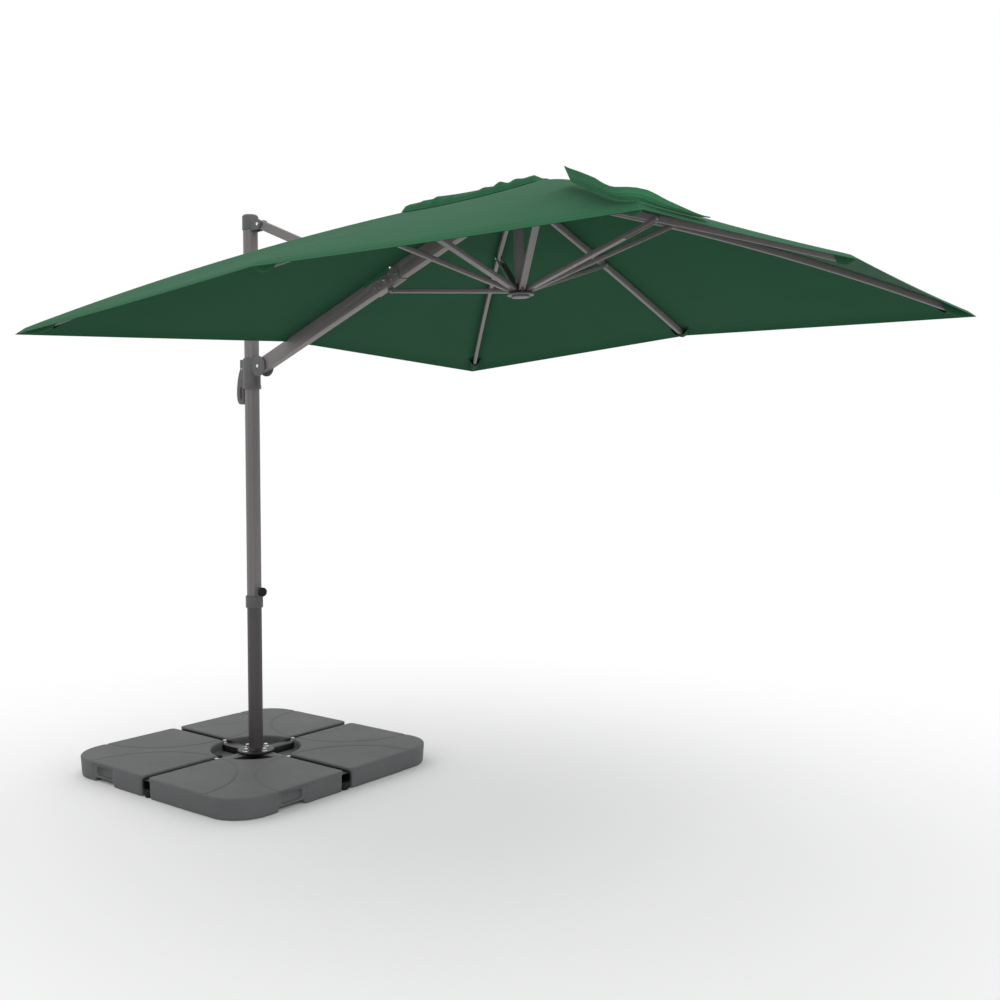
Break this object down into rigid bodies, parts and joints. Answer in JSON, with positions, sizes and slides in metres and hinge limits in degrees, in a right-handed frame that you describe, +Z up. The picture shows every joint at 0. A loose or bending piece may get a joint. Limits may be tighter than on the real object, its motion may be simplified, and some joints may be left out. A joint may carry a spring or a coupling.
{
  "type": "patio umbrella",
  "caption": "Square green cantilever patio umbrella on a side mast with sliding handle, standing on a steel cross with four fillable tanks.",
  "frame": {"origin": "on the ground under the middle of the mast and of the base", "axes": "+Z up along the mast, +X from the mast along the boom to the canopy, +Y to the canopy's left"},
  "size_m": [3.6325, 2.72, 2.694],
  "materials": {
    "tank_plastic": "fine textured dark grey polyethylene",
    "black_plastic": "satin black moulded plastic",
    "black_steel": "black powder coat",
    "rubber": "black rubber",
    "anthracite_frame": "anthracite powder-coated aluminium",
    "zinc": "bright zinc plating",
    "green_cloth": "dark green woven polyester",
    "green_webbing": "green woven webbing"
  },
  "bodies": {
    "base": {"tank_front_right": "tank_plastic", "tank_front_left": "tank_plastic", "tank_rear_left": "tank_plastic", "tank_rear_right": "tank_plastic", "filler_plug_front_right": "black_plastic", "filler_plug_front_left": "black_plastic", "filler_plug_rear_left": "black_plastic", "filler_plug_rear_right": "black_plastic", "cross_beam": "black_steel", "cross_arm_left": "black_steel", "cross_arm_right": "black_steel", "levelling_foot_front": "rubber", "levelling_foot_left": "rubber", "levelling_foot_rear": "rubber", "levelling_foot_right": "rubber", "centre_foot": "rubber", "lower_pole": "anthracite_frame", "clamp_collar": "black_plastic"},
    "clamp_knob": {"clamp_knob": "black_plastic"},
    "mast": {"mast": "anthracite_frame", "mast_cap": "black_plastic", "top_pin": "zinc"},
    "upper_arm": {"upper_arm": "anthracite_frame", "arm_pin": "zinc"},
    "main_rib": {"main_rib": "anthracite_frame", "rib_bracket": "black_steel", "cloth_boom": "green_cloth"},
    "slider": {"slider_sleeve": "black_plastic", "slider_pin": "zinc", "lever_pin": "zinc"},
    "release_lever": {"release_lever": "black_plastic"},
    "hub": {"hub": "black_plastic", "crown_cap": "black_plastic", "centre_post": "anthracite_frame"},
    "rib_front": {"rib_front": "anthracite_frame", "cloth_front": "green_cloth"},
    "strut_front": {"strut_front": "anthracite_frame"},
    "rib_front_left": {"rib_front_left": "anthracite_frame", "cloth_front_left": "green_cloth"},
    "strut_front_left": {"strut_front_left": "anthracite_frame"},
    "rib_left": {"rib_left": "anthracite_frame", "cloth_left": "green_cloth"},
    "strut_left": {"strut_left": "anthracite_frame"},
    "rib_rear_left": {"rib_rear_left": "anthracite_frame", "cloth_rear_left": "green_cloth"},
    "strut_rear_left": {"strut_rear_left": "anthracite_frame"},
    "strut_boom": {"strut_boom": "anthracite_frame"},
    "rib_rear_right": {"rib_rear_right": "anthracite_frame", "cloth_rear_right": "green_cloth"},
    "strut_rear_right": {"strut_rear_right": "anthracite_frame"},
    "rib_right": {"rib_right": "anthracite_frame", "cloth_right": "green_cloth"},
    "strut_right": {"strut_right": "anthracite_frame"},
    "rib_front_right": {"rib_front_right": "anthracite_frame", "cloth_front_right": "green_cloth", "tie_strap": "green_webbing"},
    "strut_front_right": {"strut_front_right": "anthracite_frame"},
    "runner": {"runner": "black_plastic"}
  },
  "joints": [
    {"name": "knob_turn", "type": "hinge", "parent": "base", "child": "clamp_knob", "pos_m": [0.06, 0, 0.87], "axis": [1, 0, 0], "continuous": true},
    {"name": "mast_turn", "type": "hinge", "parent": "base", "child": "mast", "pos_m": [0, 0, 0.8], "axis": [0, 0, 1], "continuous": true},
    {"name": "fold", "type": "hinge", "parent": "mast", "child": "upper_arm", "pos_m": [0.078, 0, 2.64], "axis": [0, 1, 0], "range_deg": [0, 38.37]},
    {"name": "arm_hinge", "type": "hinge", "parent": "upper_arm", "child": "main_rib", "pos_m": [0.908, 0, 2.3025], "axis": [0, 1, 0], "range_deg": [-76.75, 0], "deforming": ["cloth_boom"]},
    {"name": "slider_hinge", "type": "hinge", "parent": "main_rib", "child": "slider", "pos_m": [0.078, 0, 1.965], "axis": [0, 1, 0], "range_deg": [0, 38.37]},
    {"name": "lever_squeeze", "type": "hinge", "parent": "slider", "child": "release_lever", "pos_m": [-0.06, 0, 1.957], "axis": [0, 1, 0], "range_deg": [0, 14], "stiffness_Nm_per_rad": 4, "springref_deg": -2.86},
    {"name": "hub_hinge", "type": "hinge", "parent": "main_rib", "child": "hub", "pos_m": [1.56664, 0, 2.57032], "axis": [0, 1, 0], "range_deg": [0, 40.93]},
    {"name": "rib_hinge_front", "type": "hinge", "parent": "hub", "child": "rib_front", "pos_m": [1.65655, 0, 2.57434], "axis": [0, 1, 0], "range_deg": [0, 65.87], "deforming": ["cloth_front"]},
    {"name": "strut_hinge_front", "type": "hinge", "parent": "rib_front", "child": "strut_front", "pos_m": [2.25122, 0, 2.40564], "axis": [0, 1, 0], "range_deg": [-133.48, 0]},
    {"name": "rib_hinge_front_left", "type": "hinge", "parent": "hub", "child": "rib_front_left", "pos_m": [1.64338, 0.03182, 2.57375], "axis": [-0.7064, 0.7071, -0.0316], "range_deg": [0, 70.08], "deforming": ["cloth_front_left"]},
    {"name": "strut_hinge_front_left", "type": "hinge", "parent": "rib_front_left", "child": "strut_front_left", "pos_m": [2.06312, 0.44652, 2.47034], "axis": [-0.7064, 0.7071, -0.0316], "range_deg": [-129.49, 0]},
    {"name": "rib_hinge_left", "type": "hinge", "parent": "hub", "child": "rib_left", "pos_m": [1.61159, 0.045, 2.57233], "axis": [-0.999, 0, -0.0447], "range_deg": [0, 65.87], "deforming": ["cloth_left"]},
    {"name": "strut_hinge_left", "type": "hinge", "parent": "rib_left", "child": "strut_left", "pos_m": [1.62031, 0.63155, 2.37743], "axis": [-0.999, 0, -0.0447], "range_deg": [-133.48, 0]},
    {"name": "rib_hinge_rear_left", "type": "hinge", "parent": "hub", "child": "rib_rear_left", "pos_m": [1.5798, 0.03182, 2.57091], "axis": [-0.7064, -0.7071, -0.0316], "range_deg": [0, 70.08], "deforming": ["cloth_rear_left"]},
    {"name": "strut_hinge_rear_left", "type": "hinge", "parent": "rib_rear_left", "child": "strut_rear_left", "pos_m": [1.17097, 0.44652, 2.43045], "axis": [-0.7064, -0.7071, -0.0316], "range_deg": [-129.49, 0]},
    {"name": "strut_hinge_boom", "type": "hinge", "parent": "main_rib", "child": "strut_boom", "pos_m": [0.92947, 0, 2.25509], "axis": [0, -1, 0], "range_deg": [-96.02, 0]},
    {"name": "rib_hinge_rear_right", "type": "hinge", "parent": "hub", "child": "rib_rear_right", "pos_m": [1.5798, -0.03182, 2.57091], "axis": [0.7064, -0.7071, 0.0316], "range_deg": [0, 70.08], "deforming": ["cloth_rear_right"]},
    {"name": "strut_hinge_rear_right", "type": "hinge", "parent": "rib_rear_right", "child": "strut_rear_right", "pos_m": [1.17097, -0.44652, 2.43045], "axis": [0.7064, -0.7071, 0.0316], "range_deg": [-129.49, 0]},
    {"name": "rib_hinge_right", "type": "hinge", "parent": "hub", "child": "rib_right", "pos_m": [1.61159, -0.045, 2.57233], "axis": [0.999, 0, 0.0447], "range_deg": [0, 65.87], "deforming": ["cloth_right"]},
    {"name": "strut_hinge_right", "type": "hinge", "parent": "rib_right", "child": "strut_right", "pos_m": [1.62031, -0.63155, 2.37743], "axis": [0.999, 0, 0.0447], "range_deg": [-133.48, 0]},
    {"name": "rib_hinge_front_right", "type": "hinge", "parent": "hub", "child": "rib_front_right", "pos_m": [1.64338, -0.03182, 2.57375], "axis": [0.7064, 0.7071, 0.0316], "range_deg": [0, 70.08], "deforming": ["cloth_front_right", "tie_strap"]},
    {"name": "strut_hinge_front_right", "type": "hinge", "parent": "rib_front_right", "child": "strut_front_right", "pos_m": [2.06312, -0.44652, 2.47034], "axis": [0.7064, 0.7071, 0.0316], "range_deg": [-129.49, 0]},
    {"name": "runner_hinge", "type": "hinge", "parent": "strut_front", "child": "runner", "pos_m": [1.67307, 0, 2.20471], "axis": [0, 1, 0], "range_deg": [0, 67.61]}
  ],
  "couplings": [
    {"joint": "arm_hinge", "follows": "fold", "ratio": -2},
    {"joint": "slider_hinge", "follows": "fold", "ratio": 1},
    {"joint": "hub_hinge", "follows": "fold", "ratio": 1.0667},
    {"joint": "rib_hinge_front", "follows": "fold", "ratio": 1.7166},
    {"joint": "strut_hinge_front", "follows": "fold", "ratio": -3.4785},
    {"joint": "rib_hinge_front_left", "follows": "fold", "ratio": 1.8263},
    {"joint": "strut_hinge_front_left", "follows": "fold", "ratio": -3.3745},
    {"joint": "rib_hinge_left", "follows": "fold", "ratio": 1.7166},
    {"joint": "strut_hinge_left", "follows": "fold", "ratio": -3.4785},
    {"joint": "rib_hinge_rear_left", "follows": "fold", "ratio": 1.8263},
    {"joint": "strut_hinge_rear_left", "follows": "fold", "ratio": -3.3745},
    {"joint": "strut_hinge_boom", "follows": "fold", "ratio": -2.5023},
    {"joint": "rib_hinge_rear_right", "follows": "fold", "ratio": 1.8263},
    {"joint": "strut_hinge_rear_right", "follows": "fold", "ratio": -3.3745},
    {"joint": "rib_hinge_right", "follows": "fold", "ratio": 1.7166},
    {"joint": "strut_hinge_right", "follows": "fold", "ratio": -3.4785},
    {"joint": "rib_hinge_front_right", "follows": "fold", "ratio": 1.8263},
    {"joint": "strut_hinge_front_right", "follows": "fold", "ratio": -3.3745},
    {"joint": "runner_hinge", "follows": "fold", "ratio": 1.7619}
  ]
}
